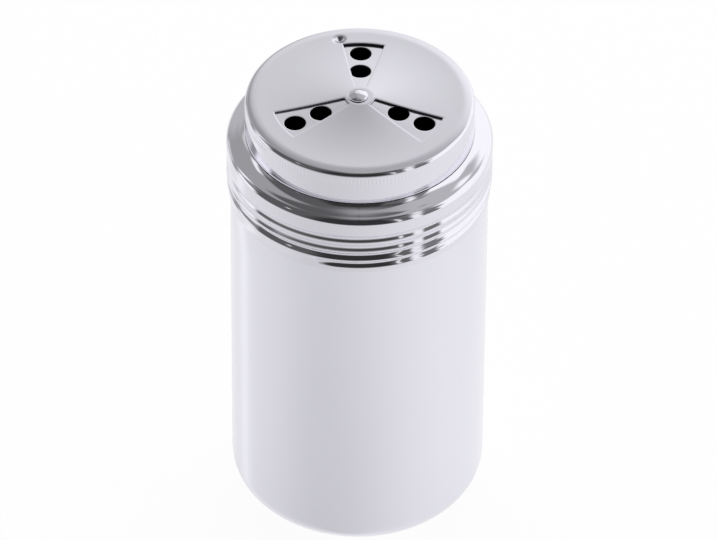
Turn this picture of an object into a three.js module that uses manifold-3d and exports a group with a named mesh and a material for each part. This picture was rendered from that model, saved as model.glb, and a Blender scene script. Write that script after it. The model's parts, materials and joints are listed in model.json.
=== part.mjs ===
// Sugar dredger of pressed stainless steel: a deep-drawn cup, a screw lid whose top is
// perforated, and a dial cap that turns on the lid about one rivet and opens or shuts the holes.
// Lengths are millimetres and +Z is up. The origin is the centre of the base, which stands on z = 0.
// The front of the object faces -Y.

import * as THREE from 'three';
import { mergeVertices } from 'three/addons/utils/BufferGeometryUtils.js';
import Module from 'manifold-3d';

const wasm = await Module();
wasm.setup();

const degrees = THREE.MathUtils.degToRad;
const fullTurn = 2 * Math.PI;

// Cup

const cupRadius = 33;
const cupSheet = 0.5;
const cupWallHeight = 96.9;
const baseFillet = 9;
const cupShoulderRound = 0.4;
const cupShoulderRise = 0.45;

// Screw lid. The skirt's ribs stand a little proud of the cup, and its lower edge is drawn in.

const lidSheet = 0.5;
const skirtStand = 0.9;
const skirtHeight = 15.9;
const skirtDraw = 0.5;
const skirtDrawHeight = 4.8;
const plainBandHeight = 3.3;
const shoulderWidth = 5;
const shoulderRise = 3;
const shoulderFillet = 2;
const shoulderFilletTurn = degrees(66);
const bendInside = 0.4;

// Rolled thread, right-handed. One groove is pressed into the skirt from outside, and the cup's
// neck carries a raised rib that runs between its turns.

const threadPitch = 2.9;
const threadDepth = 0.95;
const threadStartHeight = 2.6;
const threadStartAngle = degrees(-108);
const threadFadeTurns = 0.12;
const neckThreadLead = 0.25;
const neckThreadTail = 0.95;

// Dial cap

const dialSheet = 0.5;
const dialHeight = 9.3;
const dialEdgeInside = 0.6;
const dialCrown = 1.3;
const dialRestTurn = degrees(-1.8);
const dialTravel = degrees(60);

// Windows in the dial, and the holes that they uncover

const sectors = 3;
const firstSectorAngle = degrees(90);
const windowRim = 6.4;
const windowHalfAngle = degrees(12.6);
const windowApexSetback = 2.2;
const windowRivetMargin = 1.05;
const holeRadius = 2.65;
const holeInset = 3.9;

// Dimple punched down through the dial, and the slot that it stops in

const dimpleInset = 4.3;
const dimpleLead = degrees(13.8);
const dimpleBallRadius = 1.3;
const dimpleBallLift = 0.35;

// Rivet and the washers under the lid's top

const rivetHeadRadius = 2.75;
const rivetHeadHeight = 0.9;
const rivetShankRadius = 1.6;
const rivetTailRadius = 2.7;
const rivetTailHeight = 0.9;
const rivetLandMargin = 3.3;
const springWasherRadius = 4.8;
const springWasherThickness = 0.3;
const springWasherCone = 0.5;
const backingWasherRadius = 4.2;
const backingWasherThickness = 0.5;

// Clearances

const edgeGap = 0.3;
const seatGap = 0.3;
const threadGap = 0.3;
const passGap = 0.2;
const dialGap = 0.3;
const boreGap = 0.3;
const washerGap = 0.1;
const stopGap = 0.3;

// How finely round shapes are cut into facets

const facetsRound = 48;
const facetsSmall = 20;
const facetsHole = 16;
const rowsPerPitch = 5;
const filletSteps = 4;
const bendSteps = 2;
const crownSteps = 3;
const weldDistance = 1e-4;
const cutMargin = 5;

// Sizes that follow: heights

const skirtLow = cupWallHeight + edgeGap;
const skirtTop = skirtLow + skirtHeight;
const ledgeHeight = skirtTop + shoulderRise;
const dialLow = ledgeHeight + dialGap;
const dialRim = dialLow + dialHeight;
const dialTop = dialRim + dialCrown;
const plateDrop = dialSheet + dialGap;

// Sizes that follow: radii

const skirtRadius = cupRadius + skirtStand;
const dialRadius = skirtRadius - shoulderWidth;
const dialEdge = dialEdgeInside + dialSheet;
const crownRadius = dialRadius - dialEdge;
const collarRadius = dialRadius - dialSheet - dialGap;
const collarEdge = bendInside + lidSheet;
const landRadius = rivetHeadRadius + rivetLandMargin;
const boreRadius = rivetShankRadius + boreGap;

// Sizes that follow: thread. The rib on the neck passes through the skirt's drawn-in edge, and
// the floor of the skirt's groove clears the neck between the ribs.

const grooveFloorRadius = skirtRadius - threadDepth;
const neckCrestRadius = skirtRadius - skirtDraw - lidSheet - passGap;
const neckRadius = grooveFloorRadius - lidSheet - threadGap;
const neckRibHeight = neckCrestRadius - neckRadius;
const threadStart = skirtLow + threadStartHeight;
const threadTurns = (skirtTop - plainBandHeight - threadStart) / threadPitch;
const rowHeight = threadPitch / rowsPerPitch;

// Sizes that follow: windows, holes and the stop

const windowOuter = dialRadius - windowRim;
const windowInner = rivetHeadRadius + windowRivetMargin;
const outerHoleRing = windowOuter - holeInset;
const innerHoleRing = (outerHoleRing + windowInner) / 2;
const dimpleRing = dialRadius - dimpleInset;
const dimpleAngle = firstSectorAngle + dimpleLead;
const dimpleSkinRadius = dimpleBallRadius + dialSheet;
const slotHalfWidth = dimpleSkinRadius + stopGap;

// Points of a round stretch of an outline, seen in the plane of radius and height

function arc(centreRadius, centreHeight, radius, fromAngle, toAngle, steps) {
  const points = [];
  for (let step = 0; step <= steps; step += 1) {
    const angle = fromAngle + ((toAngle - fromAngle) * step) / steps;
    const across = centreRadius + radius * Math.cos(angle);
    const up = centreHeight + radius * Math.sin(angle);
    points.push(new THREE.Vector2(across, up));
  }
  return points;
}

// The other face of a sheet, one thickness behind an outline whose outside is on its right

function behind(outline, thickness) {
  return outline.map((point, index) => {
    const before = outline[Math.max(index - 1, 0)];
    const after = outline[Math.min(index + 1, outline.length - 1)];
    const arriving = point.clone().sub(before).normalize();
    const leaving = after.clone().sub(point).normalize();
    const along = arriving.clone().add(leaving).normalize();
    const sharpness = index > 0 && index < outline.length - 1 ? along.dot(leaving) : 1;
    const outward = new THREE.Vector2(along.y, -along.x);
    return point.clone().addScaledVector(outward, -thickness / sharpness);
  });
}

// A body of revolution about Z, from a profile that starts and ends on the axis or closes on itself

function revolve(profile, facets) {
  const points = profile.map((point) => new THREE.Vector2(Math.max(point.x, 0), point.y));
  const geometry = new THREE.LatheGeometry(points, facets);
  return geometry.rotateX(Math.PI / 2);
}

// A pressed sheet: the outline and the face behind it, joined at the free edge

function pressing(outline, thickness, facets) {
  const back = behind(outline, thickness).reverse();
  const startsOnAxis = outline[0].x < weldDistance;
  return revolve(startsOnAxis ? [...outline, ...back] : [...back, ...outline], facets);
}

function solid(geometry) {
  const bare = geometry.clone();
  bare.deleteAttribute('normal');
  bare.deleteAttribute('uv');
  const welded = mergeVertices(bare, weldDistance);
  const corners = welded.index.array;
  const triangles = [];
  for (let start = 0; start < corners.length; start += 3) {
    const [first, second, third] = corners.slice(start, start + 3);
    if (first !== second && second !== third && third !== first) {
      triangles.push(first, second, third);
    }
  }
  const places = new Float32Array(welded.attributes.position.array);
  return new wasm.Manifold(
    new wasm.Mesh({ numProp: 3, vertProperties: places, triVerts: new Uint32Array(triangles) }),
  );
}

function shape(body) {
  const cut = body.getMesh();
  const geometry = new THREE.BufferGeometry();
  geometry.setAttribute('position', new THREE.BufferAttribute(cut.vertProperties, 3));
  geometry.setIndex(new THREE.BufferAttribute(cut.triVerts, 1));
  geometry.computeVertexNormals();
  return geometry;
}

// A round cutter or pin about Z, from one height to another

function round(radius, fromHeight, toHeight, facets) {
  const length = toHeight - fromHeight;
  const geometry = new THREE.CylinderGeometry(radius, radius, length, facets);
  return geometry.rotateX(Math.PI / 2).translate(0, 0, fromHeight + length / 2);
}

// A flat outline cut straight through the domed top

function throughTop(outline) {
  const from = dialRim - dialEdge - lidSheet - plateDrop;
  const depth = dialTop - from + cutMargin;
  const options = { depth, bevelEnabled: false, curveSegments: facetsHole };
  return new THREE.ExtrudeGeometry(outline, options).translate(0, 0, from);
}

// Where a turn of the thread lies. It gives how far up the slope of a groove or rib a place on the
// wall is: 1 on its centre line, 0 midway to the next turn and past the thread's faded ends.

function threadShare(angle, height, startHeight, fromTurn, toTurn) {
  const ahead = THREE.MathUtils.euclideanModulo(angle - threadStartAngle, fullTurn) / fullTurn;
  const rows = (height - startHeight) / threadPitch - ahead;
  const nearest = Math.round(rows);
  const turn = nearest + ahead;
  const fadeIn = THREE.MathUtils.smoothstep(turn, fromTurn, fromTurn + threadFadeTurns);
  const fadeOut = 1 - THREE.MathUtils.smoothstep(turn, toTurn - threadFadeTurns, toTurn);
  const slope = (1 + Math.cos(fullTurn * (rows - nearest))) / 2;
  return slope * fadeIn * fadeOut;
}

// Rolls a thread into a wall: moves each point in or out by an amount set by its angle and height

function roll(geometry, outwardAt) {
  const places = geometry.attributes.position;
  for (let index = 0; index < places.count; index += 1) {
    const x = places.getX(index);
    const y = places.getY(index);
    const radius = Math.hypot(x, y);
    if (radius > landRadius) {
      const outward = outwardAt(Math.atan2(y, x), places.getZ(index));
      const scale = (radius + outward) / radius;
      places.setXY(index, x * scale, y * scale);
    }
  }
  return geometry;
}

// Points up a wall, close enough together to carry the thread where there is one

function wallRows(radiusAt, fromHeight, threadFrom, threadTo, toHeight) {
  const count = Math.ceil((threadTo - threadFrom) / rowHeight);
  const heights = [fromHeight];
  for (let row = 0; row <= count; row += 1) {
    heights.push(threadFrom + ((threadTo - threadFrom) * row) / count);
  }
  heights.push(toHeight);
  return heights.map((height) => new THREE.Vector2(radiusAt(height), height));
}

// Height of the dial's top at a radius: flat round the rivet, then a low crown down to the rim

function crownHeight(radius) {
  const share = Math.max(radius - landRadius, 0) / (crownRadius - landRadius);
  return dialTop - dialCrown * share * share;
}

function crownPoints(fromRadius, drop) {
  const points = [];
  for (let step = 0; step <= crownSteps; step += 1) {
    const radius = fromRadius + ((landRadius - fromRadius) * step) / crownSteps;
    points.push(new THREE.Vector2(radius, crownHeight(radius) - drop));
  }
  points.push(new THREE.Vector2(0, dialTop - drop));
  return points;
}

// The skirt's wall before its thread is rolled, from the drawn-in edge to the full radius

function skirtWall(height) {
  const share = THREE.MathUtils.smoothstep(height, skirtLow, skirtLow + skirtDrawHeight);
  return skirtRadius - skirtDraw * (1 - share);
}

// Underside of the lid's shoulder where it stands over the cup's mouth

function roofHeight(radius) {
  const insideRadius = shoulderFillet - lidSheet;
  const across = Math.max(radius - (skirtRadius - shoulderFillet), 0);
  return skirtTop + Math.sqrt(Math.max(insideRadius * insideRadius - across * across, 0));
}

// Cup: base, round lower corner, wall, and a neck that carries the raised thread

function makeCup() {
  const mouthHeight = roofHeight(neckRadius) - seatGap;
  const shoulderLow = cupWallHeight - cupShoulderRound;
  const shoulderInner = cupRadius - cupShoulderRound;
  const neckLow = cupWallHeight + cupShoulderRise;
  const ribStart = threadStart + threadPitch / 2;
  const ribEnd = threadTurns - neckThreadTail;
  const ribLow = threadStart + neckThreadLead * threadPitch;
  const ribHigh = ribStart + ribEnd * threadPitch + threadPitch / 2;
  const outline = [
    new THREE.Vector2(0, 0),
    ...arc(cupRadius - baseFillet, baseFillet, baseFillet, -Math.PI / 2, 0, filletSteps),
    ...arc(shoulderInner, shoulderLow, cupShoulderRound, 0, Math.PI / 2, 2),
    ...wallRows(() => neckRadius, neckLow, ribLow, ribHigh, mouthHeight),
  ];
  return roll(pressing(outline, cupSheet, facetsRound), (angle, height) => {
    return neckRibHeight * threadShare(angle, height, ribStart, neckThreadLead, ribEnd);
  });
}

// Screw lid: threaded skirt, shoulder, collar inside the dial, and the perforated top

function makeLid() {
  const grooveLow = threadStart - threadPitch / 2;
  const grooveHigh = threadStart + threadTurns * threadPitch + threadPitch / 2;
  const shoulderCentre = skirtRadius - shoulderFillet;
  const ledgeOuter = dialRadius + bendInside;
  const coveCentre = collarRadius + bendInside;
  const collarTop = crownHeight(collarRadius - collarEdge) - plateDrop - collarEdge;
  const outline = [
    ...wallRows(skirtWall, skirtLow, grooveLow, grooveHigh, skirtTop),
    ...arc(shoulderCentre, skirtTop, shoulderFillet, 0, shoulderFilletTurn, filletSteps).slice(1),
    new THREE.Vector2(ledgeOuter, ledgeHeight),
    ...arc(coveCentre, ledgeHeight + bendInside, bendInside, -Math.PI / 2, -Math.PI, bendSteps),
    ...arc(collarRadius - collarEdge, collarTop, collarEdge, 0, Math.PI / 2, bendSteps),
    ...crownPoints(collarRadius - collarEdge, plateDrop).slice(1),
  ];
  const rolled = roll(pressing(outline, lidSheet, facetsRound), (angle, height) => {
    const share = threadShare(angle, height, threadStart, 0, threadTurns);
    return -(skirtWall(height) - grooveFloorRadius) * share;
  });
  let lid = solid(rolled);
  lid = lid.subtract(solid(round(boreRadius, skirtTop, dialTop + cutMargin, facetsSmall)));
  for (let sector = 0; sector < sectors; sector += 1) {
    const angle = firstSectorAngle + (sector * fullTurn) / sectors;
    for (const ring of [innerHoleRing, outerHoleRing]) {
      const hole = round(holeRadius, skirtTop, dialTop + cutMargin, facetsHole);
      hole.translate(ring * Math.cos(angle), ring * Math.sin(angle), 0);
      lid = lid.subtract(solid(hole));
    }
  }
  return shape(lid.subtract(solid(throughTop(stopSlot()))));
}

// Slot round part of a circle, with round ends, in which the dimple travels

function stopSlot() {
  const fromAngle = dimpleAngle + dialRestTurn;
  const toAngle = fromAngle + dialTravel;
  const outer = dimpleRing + slotHalfWidth;
  const inner = dimpleRing - slotHalfWidth;
  const slot = new THREE.Shape();
  slot.absarc(0, 0, outer, fromAngle, toAngle, false);
  const endX = dimpleRing * Math.cos(toAngle);
  const endY = dimpleRing * Math.sin(toAngle);
  slot.absarc(endX, endY, slotHalfWidth, toAngle, toAngle + Math.PI, false);
  slot.absarc(0, 0, inner, toAngle, fromAngle, true);
  const startX = dimpleRing * Math.cos(fromAngle);
  const startY = dimpleRing * Math.sin(fromAngle);
  slot.absarc(startX, startY, slotHalfWidth, fromAngle + Math.PI, fromAngle + fullTurn, false);
  return slot;
}

// Wedge window: straight sides that would meet a little behind the rivet, and a round outer end

function windowOutline(centreAngle) {
  const wedge = new THREE.Shape();
  const apexX = -windowApexSetback * Math.cos(centreAngle);
  const apexY = -windowApexSetback * Math.sin(centreAngle);
  const setback = windowApexSetback * Math.sin(windowHalfAngle);
  const outerSpread = windowHalfAngle + Math.asin(setback / windowOuter);
  const reach = (windowInner + windowApexSetback) / Math.cos(windowHalfAngle);
  const low = centreAngle - windowHalfAngle;
  const high = centreAngle + windowHalfAngle;
  wedge.moveTo(apexX + reach * Math.cos(low), apexY + reach * Math.sin(low));
  wedge.absarc(0, 0, windowOuter, centreAngle - outerSpread, centreAngle + outerSpread, false);
  wedge.lineTo(apexX + reach * Math.cos(high), apexY + reach * Math.sin(high));
  wedge.closePath();
  return wedge;
}

// Dial cap: wall, edge and low crown, with the windows and the punched dimple

function makeDial() {
  const outline = [
    new THREE.Vector2(dialRadius, dialLow),
    ...arc(crownRadius, dialRim - dialEdge, dialEdge, 0, Math.PI / 2, filletSteps),
    ...crownPoints(crownRadius, 0).slice(1),
  ];
  let dial = solid(pressing(outline, dialSheet, facetsRound));
  const dimpleX = dimpleRing * Math.cos(dimpleAngle);
  const dimpleY = dimpleRing * Math.sin(dimpleAngle);
  const ballHeight = crownHeight(dimpleRing) + dimpleBallLift;
  const skin = arc(0, 0, dimpleSkinRadius, -Math.PI / 2, -dimpleSkinTop(), filletSteps);
  const nib = revolve([...skin, new THREE.Vector2(0, skin[skin.length - 1].y)], facetsHole);
  const ball = new THREE.SphereGeometry(dimpleBallRadius, facetsHole, facetsHole / 2);
  dial = dial.add(solid(nib.translate(dimpleX, dimpleY, ballHeight)));
  dial = dial.subtract(solid(ball.rotateX(Math.PI / 2).translate(dimpleX, dimpleY, ballHeight)));
  dial = dial.subtract(solid(round(boreRadius, skirtTop, dialTop + cutMargin, facetsSmall)));
  for (let sector = 0; sector < sectors; sector += 1) {
    const angle = firstSectorAngle + (sector * fullTurn) / sectors;
    dial = dial.subtract(solid(throughTop(windowOutline(angle))));
  }
  return shape(dial);
}

// How far below level the dimple's skin meets the middle of the dial's sheet

function dimpleSkinTop() {
  return Math.asin((dimpleBallLift + dialSheet / 2) / dimpleSkinRadius);
}

// Rivet: low domed head on the dial, shank through both sheets, and the tail clinched under them

const washerTop = dialTop - plateDrop - lidSheet - washerGap;
const springWasherHeight = springWasherThickness + springWasherCone;
const backingWasherTop = washerTop - springWasherHeight - washerGap;
const rivetTailTop = backingWasherTop - backingWasherThickness - washerGap;

function makeRivet() {
  const headSeat = dialTop + washerGap;
  const sphere = (rivetHeadRadius * rivetHeadRadius) / (2 * rivetHeadHeight) + rivetHeadHeight / 2;
  const rimAngle = Math.acos(rivetHeadRadius / sphere);
  const centre = headSeat + rivetHeadHeight - sphere;
  const profile = [
    new THREE.Vector2(0, rivetTailTop - rivetTailHeight),
    new THREE.Vector2(rivetTailRadius - bendInside, rivetTailTop - rivetTailHeight),
    new THREE.Vector2(rivetTailRadius, rivetTailTop - rivetTailHeight + bendInside),
    new THREE.Vector2(rivetTailRadius, rivetTailTop),
    new THREE.Vector2(rivetShankRadius, rivetTailTop),
    new THREE.Vector2(rivetShankRadius, headSeat),
    ...arc(0, centre, sphere, rimAngle, Math.PI / 2, filletSteps),
  ];
  return revolve(profile, facetsSmall);
}

// Spring washer: a shallow cone of spring steel, its wide end against the lid

function makeSpringWasher() {
  const low = washerTop - springWasherHeight;
  const inner = boreRadius;
  const outer = springWasherRadius;
  const profile = [
    new THREE.Vector2(inner, low),
    new THREE.Vector2(outer, low + springWasherCone),
    new THREE.Vector2(outer, low + springWasherHeight),
    new THREE.Vector2(inner, low + springWasherThickness),
    new THREE.Vector2(inner, low),
  ];
  return revolve(profile, facetsSmall);
}

function makeBackingWasher() {
  const low = backingWasherTop - backingWasherThickness;
  const profile = [
    new THREE.Vector2(boreRadius, low),
    new THREE.Vector2(backingWasherRadius, low),
    new THREE.Vector2(backingWasherRadius, backingWasherTop),
    new THREE.Vector2(boreRadius, backingWasherTop),
    new THREE.Vector2(boreRadius, low),
  ];
  return revolve(profile, facetsSmall);
}

// Materials: satin steel on the cup and the dial, mirror-polished steel on the lid's threaded ring

function steel(color, roughness) {
  return new THREE.MeshStandardMaterial({ color, roughness, metalness: 1 });
}

const satinSteel = steel(0xd6d5da, 0.36);
const polishedSteel = steel(0xdddde2, 0.1);
const springSteel = steel(0x9a9aa0, 0.4);

function place(group, name, geometry, material) {
  const mesh = new THREE.Mesh(geometry, material);
  mesh.name = name;
  group.add(mesh);
  return mesh;
}

const dredger = new THREE.Group();
const lidAssembly = new THREE.Group();
dredger.add(lidAssembly);

place(dredger, 'cup', makeCup(), satinSteel);
place(lidAssembly, 'screw_lid', makeLid(), polishedSteel);
place(lidAssembly, 'dial_cap', makeDial(), satinSteel).rotation.z = dialRestTurn;
place(lidAssembly, 'centre_rivet', makeRivet(), polishedSteel);
place(lidAssembly, 'spring_washer', makeSpringWasher(), springSteel);
place(lidAssembly, 'backing_washer', makeBackingWasher(), springSteel);

export default dredger;
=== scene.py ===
"""Looks of a stainless steel sugar dredger: a deep-drawn cup, a screw lid with a rolled thread and a
pierced top, and a dial cap that turns on the lid about one rivet.

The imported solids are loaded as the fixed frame, and each is replaced by a finer surface of the same
size in the same place. Shapes are worked out in millimetres and written to the meshes in metres.
+Z is up, and the front of the object faces -Y.
"""

import json
import logging
import math
from dataclasses import dataclass, field
from enum import Enum

import bpy
import numpy as np
from mathutils import Matrix, Vector

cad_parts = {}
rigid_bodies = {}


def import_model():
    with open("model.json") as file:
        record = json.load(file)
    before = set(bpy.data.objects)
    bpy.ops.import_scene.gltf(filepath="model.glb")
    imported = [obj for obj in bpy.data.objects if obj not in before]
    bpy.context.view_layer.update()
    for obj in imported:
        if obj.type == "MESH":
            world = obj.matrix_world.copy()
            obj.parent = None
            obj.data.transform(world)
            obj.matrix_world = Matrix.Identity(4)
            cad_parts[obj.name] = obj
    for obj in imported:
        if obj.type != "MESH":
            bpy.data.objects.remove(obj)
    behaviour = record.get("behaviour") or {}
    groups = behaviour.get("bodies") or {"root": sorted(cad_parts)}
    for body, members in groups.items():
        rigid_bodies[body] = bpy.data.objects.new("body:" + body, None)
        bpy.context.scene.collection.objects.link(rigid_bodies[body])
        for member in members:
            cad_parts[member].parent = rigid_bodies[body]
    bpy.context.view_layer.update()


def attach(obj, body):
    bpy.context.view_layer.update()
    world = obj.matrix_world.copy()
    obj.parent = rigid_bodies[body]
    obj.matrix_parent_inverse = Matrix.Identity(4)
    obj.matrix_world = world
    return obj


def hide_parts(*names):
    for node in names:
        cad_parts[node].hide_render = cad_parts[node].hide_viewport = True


LOG = logging.getLogger("sugar_dredger")
MM = 0.001
FULL_TURN = 2 * math.pi
Array = np.ndarray
Object = bpy.types.Object
Pair = tuple[float, float]
NO_TRIANGLES = np.zeros((0, 3), int)
# Edges that turn by more than this are softened
SHARP = math.radians(42)
# Faces whose direction rises by more than this look up
RISING = 0.2


class Slot(Enum):
    """Material slots of the part's record."""

    SATIN = "satin_steel"
    POLISHED = "polished_steel"
    SPRING = "spring_steel"


# Shapes in the plane of radius and height, and round the axis


def arc(centre: Pair, radius: float, start: float, end: float, steps: int) -> Array:
    """Points of a round stretch: centre plus radius times (cosine, sine) of evenly spaced angles.

    Args:
        centre: Radius and height of the arc's centre, in mm.
        radius: The arc's radius in mm.
        start: First angle in degrees.
        end: Last angle in degrees.
        steps: Number of stretches between the points.

    Returns:
        Points as rows of (radius, height).
    """
    angle = np.radians(np.linspace(start, end, steps + 1))
    return np.stack([centre[0] + radius * np.cos(angle), centre[1] + radius * np.sin(angle)], 1)


def points_at(radius: Array | float, height: Array | float) -> Array:
    """Outline points as rows of (radius, height). Either may be one value for all of them."""
    return np.stack(np.broadcast_arrays(radius, height), -1)


def smooth(share: Array) -> Array:
    """Eases 0 to 1 as three times the square less twice the cube, held at both ends."""
    held = np.clip(share, 0.0, 1.0)
    return held * held * (3 - 2 * held)


def behind(outline: Array, thickness: float) -> Array:
    """The other face of a sheet: each point moved back along the mitre of its two neighbours.

    Args:
        outline: Points of the face whose outside lies on the right of its direction.
        thickness: The sheet's thickness in mm.

    Returns:
        One point behind each of the outline's.
    """
    step = np.diff(outline, axis=0)
    step /= np.linalg.norm(step, axis=1, keepdims=True)
    leaving = np.vstack([step, step[-1:]])
    along = np.vstack([step[:1], step]) + leaving
    along /= np.linalg.norm(along, axis=1, keepdims=True)
    sharpness = np.sum(along * leaving, axis=1, keepdims=True)
    outward = np.stack([along[:, 1], -along[:, 0]], 1)
    return outline - outward * thickness / sharpness


def turned(outline: Array, angles: Array, inward: Array | float = 0.0) -> Array:
    """Carries an outline round the axis: (radius cos angle, radius sin angle, height).

    Args:
        outline: Rows of (radius, height).
        angles: One angle per column, or one row of angles per point of the outline, in radians.
        inward: How far points are moved towards the axis in mm, rows x columns.

    Returns:
        Points as rows x columns x 3.
    """
    turn = np.broadcast_to(angles, (len(outline), np.shape(angles)[-1]))
    radius = outline[:, :1]
    height = np.broadcast_to(outline[:, 1:], turn.shape)
    points = np.stack([radius * np.cos(turn), radius * np.sin(turn), height], -1)
    points[..., :2] *= (1 - inward / radius)[..., None]
    return points


def even_angles(columns: int) -> Array:
    """Angles of the columns of a full turn, evenly spaced."""
    return np.arange(columns) * FULL_TURN / columns


def squares(index: Array) -> Array:
    """Four-sided faces between neighbouring rows of point numbers, once round the axis."""
    after = np.roll(index, -1, axis=1)
    return np.stack([index[:-1], after[:-1], after[1:], index[1:]], -1)


@dataclass
class Sheet:
    """A pressed sheet. Its front and back hold matching points, and its faces lie on the front."""

    front: list[Array] = field(default_factory=list)
    back: list[Array] = field(default_factory=list)
    quads: list[Array] = field(default_factory=list)
    triangles: list[Array] = field(default_factory=list)
    count: int = 0

    def add(self, front: Array, back: Array) -> Array:
        """Adds matching points.

        Args:
            front: Points of the front, any number of dimensions, with x, y and z last.
            back: Points behind them, in the same layout.

        Returns:
            The number of each point, in the same layout.
        """
        shape = front.shape[:-1]
        total = int(np.prod(shape))
        self.front.append(front.reshape(-1, 3))
        self.back.append(np.broadcast_to(back, front.shape).reshape(-1, 3))
        self.count += total
        return np.arange(self.count - total, self.count).reshape(shape)

    def rings(self, index: Array, kept: Array | None = None) -> None:
        """Lays four-sided faces between neighbouring rows, once round the axis.

        Args:
            index: Point numbers, rows x columns.
            kept: Which faces are laid, rows - 1 x columns. All of them when it is left out.
        """
        faces = squares(index)
        self.quads.append(faces[kept] if kept is not None else faces.reshape(-1, 4))

    def fan(self, centre: int, row: Array) -> None:
        """Closes the sheet at the axis, from one point to the row that follows it."""
        self.triangles.append(np.stack([np.full_like(row, centre), np.roll(row, -1), row], -1))

    def step_down(self, fine: Array, coarse: Array) -> None:
        """Joins a row of three times as many points to the coarser row that follows it.

        Args:
            fine: Point numbers of the row with more points.
            coarse: Point numbers of the row that follows.
        """
        start = fine.reshape(-1, 3)
        end = np.roll(start[:, 0], -1)
        after = np.roll(coarse, -1)
        corners = [
            (start[:, 0], start[:, 1], coarse),
            (start[:, 1], after, coarse),
            (start[:, 1], start[:, 2], after),
            (start[:, 2], end, after),
        ]
        self.triangles.extend(np.stack(three, -1) for three in corners)

    def closed(self) -> tuple[Array, Array, Array]:
        """Turns the sheet into a closed body: front, back turned round, and a rim at each free edge.

        Returns:
            Points, four-sided faces and three-sided faces.
        """
        points = np.concatenate(self.front + self.back)
        quads = np.concatenate(self.quads)
        triangles = np.concatenate([NO_TRIANGLES, *self.triangles])
        start = np.concatenate([quads.ravel(), triangles.ravel()])
        end = np.concatenate([np.roll(quads, -1, 1).ravel(), np.roll(triangles, -1, 1).ravel()])
        free = ~np.isin(start * self.count + end, end * self.count + start)
        start, end = start[free], end[free]
        rim = np.stack([end, start, start + self.count, end + self.count], -1)
        quads = np.concatenate([quads, quads[:, ::-1] + self.count, rim])
        triangles = np.concatenate([triangles, triangles[:, ::-1] + self.count])
        return points, quads, triangles


def body_of_turn(outline: Array, columns: int) -> tuple[Array, Array, Array]:
    """A body of revolution: solid where the outline starts and ends on the axis, and otherwise a
    ring whose outline closes on itself.

    Args:
        outline: Rows of (radius, height), with the outside on the right of its direction.
        columns: Number of points once round.

    Returns:
        Points, four-sided faces and three-sided faces.
    """
    solid = outline[0, 0] == 0
    grid = turned(outline[1:-1] if solid else outline, even_angles(columns))
    index = np.arange(grid.size // 3).reshape(-1, columns)
    points = grid.reshape(-1, 3)
    if not solid:
        return points, squares(np.vstack([index, index[:1]])).reshape(-1, 4), NO_TRIANGLES
    foot = np.stack([np.full(columns, index.size), np.roll(index[0], -1), index[0]], -1)
    head = np.stack([np.full(columns, index.size + 1), index[-1], np.roll(index[-1], -1)], -1)
    ends = np.array([[0, 0, outline[0, 1]], [0, 0, outline[-1, 1]]])
    return np.concatenate([points, ends]), squares(index).reshape(-1, 4), np.concatenate([foot, head])


# Pieces


def add_object(name: str, data: bpy.types.ID) -> Object:
    """Makes an object and links it to the scene.

    Args:
        name: The object's name.
        data: Its mesh, camera or light.

    Returns:
        The new object.
    """
    made = bpy.data.objects.new(name, data)
    bpy.context.scene.collection.objects.link(made)
    return made


def piece(name: str, points: Array, quads: Array, triangles: Array) -> Object:
    """Makes a smooth-shaded mesh object at the origin from points in mm.

    Args:
        name: The piece's name.
        points: Rows of x, y and z in mm.
        quads: Rows of four point numbers.
        triangles: Rows of three point numbers.

    Returns:
        The new object, linked to the scene.
    """
    mesh = bpy.data.meshes.new(name)
    corners = np.concatenate([quads.ravel(), triangles.ravel()]).astype(np.int32)
    sizes = np.concatenate([np.full(len(quads), 4), np.full(len(triangles), 3)])
    starts = np.concatenate([[0], np.cumsum(sizes)[:-1]]).astype(np.int32)
    mesh.vertices.add(len(points))
    mesh.vertices.foreach_set("co", (points * MM).astype(np.float32).ravel())
    mesh.loops.add(len(corners))
    mesh.loops.foreach_set("vertex_index", corners)
    mesh.polygons.add(len(sizes))
    mesh.polygons.foreach_set("loop_start", starts)
    mesh.polygons.foreach_set("use_smooth", np.ones(len(sizes), bool))
    mesh.update(calc_edges=True)
    mesh.validate()
    return add_object(name, mesh)


def soften_edges(made: Object, width: float) -> None:
    """Rounds a piece's sharp edges with two facets, as tumbling leaves a cut edge.

    Args:
        made: The piece.
        width: Width of the rounding in mm.
    """
    bevel = made.modifiers.new("softened_edges", "BEVEL")
    bevel.width = width * MM
    bevel.segments = 2
    bevel.limit_method = "ANGLE"
    bevel.angle_limit = SHARP
    bevel.harden_normals = True


def faces_of(made: Object) -> tuple[Array, Array, Array]:
    """Tells where a piece's faces are and which way they look.

    Args:
        made: The piece.

    Returns:
        Centres in mm and outward directions, as rows of x, y and z, and which faces look away from
        the axis.
    """
    values = np.zeros((2, len(made.data.polygons) * 3), np.float32)
    made.data.polygons.foreach_get("center", values[0])
    made.data.polygons.foreach_get("normal", values[1])
    middle, facing = values[0].reshape(-1, 3) / MM, values[1].reshape(-1, 3)
    return middle, facing, np.sum(middle[:, :2] * facing[:, :2], axis=1) > 0


# Finishes


def linear(colour: str) -> tuple[float, float, float, float]:
    """Turns an sRGB colour to a linear one.

    Args:
        colour: Hex digits of red, green and blue, such as "c8c8cc".

    Returns:
        Linear red, green and blue, with alpha 1.
    """
    parts = np.array([int(colour[place:place + 2], 16) for place in (0, 2, 4)]) / 255
    values = np.where(parts <= 0.04045, parts / 12.92, ((parts + 0.055) / 1.055) ** 2.4)
    return (*values.tolist(), 1.0)


def blank_tree(owner: bpy.types.Material | bpy.types.World) -> bpy.types.NodeTree:
    """Empties a node tree.

    Args:
        owner: The material or world that the tree belongs to.

    Returns:
        The empty tree.
    """
    owner.use_nodes = True
    owner.node_tree.nodes.clear()
    return owner.node_tree


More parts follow.
